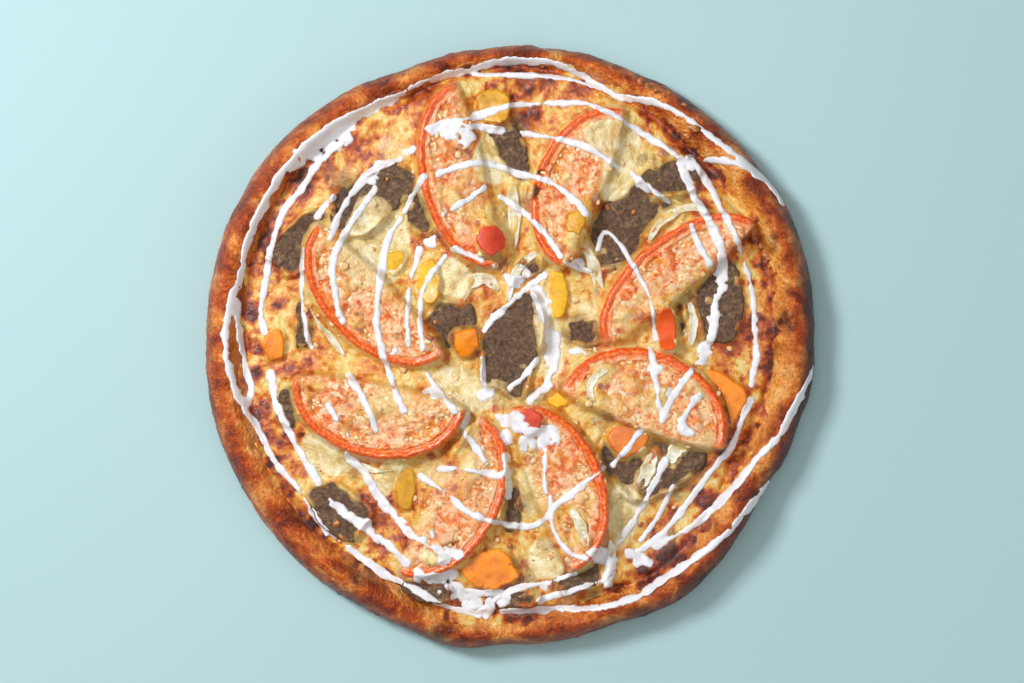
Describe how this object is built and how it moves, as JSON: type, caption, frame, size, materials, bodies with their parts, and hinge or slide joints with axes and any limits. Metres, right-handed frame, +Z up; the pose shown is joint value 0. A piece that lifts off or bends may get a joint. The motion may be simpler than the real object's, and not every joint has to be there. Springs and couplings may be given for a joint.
{
  "type": "donair pizza",
  "caption": "Round baked pizza with a plump browned rim, melted cheese, meat slices, tomato half slices, pepper pieces, onion strips and a white sauce drizzled in loops",
  "frame": {"origin": "bottom centre of the whole pizza, on the surface that it lies on", "axes": "+Z up; seen from above with +Y up the page and +X to the right, as in the picture"},
  "size_m": [0.2604, 0.2578, 0.0257],
  "materials": {
    "baked_crust": "glossy browned bread crust, darker in patches, golden towards the cheese",
    "melted_cheese": "melted cheese, cream to golden brown, oily, with thick white sauce on it",
    "sliced_meat": "grained grey-brown sliced meat",
    "tomato": "baked tomato, wet, orange-red with pale seeds and a darker skin",
    "pepper": "glossy orange and yellow sweet pepper",
    "onion": "translucent cream-coloured cooked onion",
    "white_sauce": "thick glossy white sauce"
  },
  "bodies": {
    "root": {"crust": "baked_crust", "cheese": "melted_cheese", "meat_slice_1": "sliced_meat", "meat_slice_2": "sliced_meat", "meat_slice_3": "sliced_meat", "meat_slice_4": "sliced_meat", "meat_slice_5": "sliced_meat", "meat_slice_6": "sliced_meat", "meat_slice_7": "sliced_meat", "meat_slice_8": "sliced_meat", "meat_slice_9": "sliced_meat", "meat_slice_10": "sliced_meat", "meat_slice_11": "sliced_meat", "meat_slice_12": "sliced_meat", "meat_slice_13": "sliced_meat", "meat_slice_14": "sliced_meat", "meat_slice_15": "sliced_meat", "meat_slice_16": "sliced_meat", "meat_slice_17": "sliced_meat", "meat_slice_18": "sliced_meat", "meat_slice_19": "sliced_meat", "meat_slice_20": "sliced_meat", "pepper_piece_1": "pepper", "pepper_piece_2": "pepper", "pepper_piece_3": "pepper", "pepper_piece_4": "pepper", "pepper_piece_5": "pepper", "pepper_piece_6": "pepper", "pepper_piece_7": "pepper", "pepper_piece_8": "pepper", "pepper_piece_9": "pepper", "pepper_piece_10": "pepper", "pepper_piece_11": "pepper", "pepper_piece_12": "pepper", "pepper_piece_13": "pepper", "pepper_piece_14": "pepper", "pepper_piece_15": "pepper", "pepper_piece_16": "pepper", "onion_strip_1": "onion", "onion_strip_2": "onion", "onion_strip_3": "onion", "onion_strip_4": "onion", "onion_strip_5": "onion", "onion_strip_6": "onion", "onion_strip_7": "onion", "onion_strip_8": "onion", "onion_strip_9": "onion", "onion_strip_10": "onion", "onion_strip_11": "onion", "onion_strip_12": "onion", "onion_strip_13": "onion", "tomato_slice_1": "tomato", "tomato_slice_2": "tomato", "tomato_slice_3": "tomato", "tomato_slice_4": "tomato", "tomato_slice_5": "tomato", "tomato_slice_6": "tomato", "tomato_slice_7": "tomato", "tomato_slice_8": "tomato"}
  },
  "joints": []
}
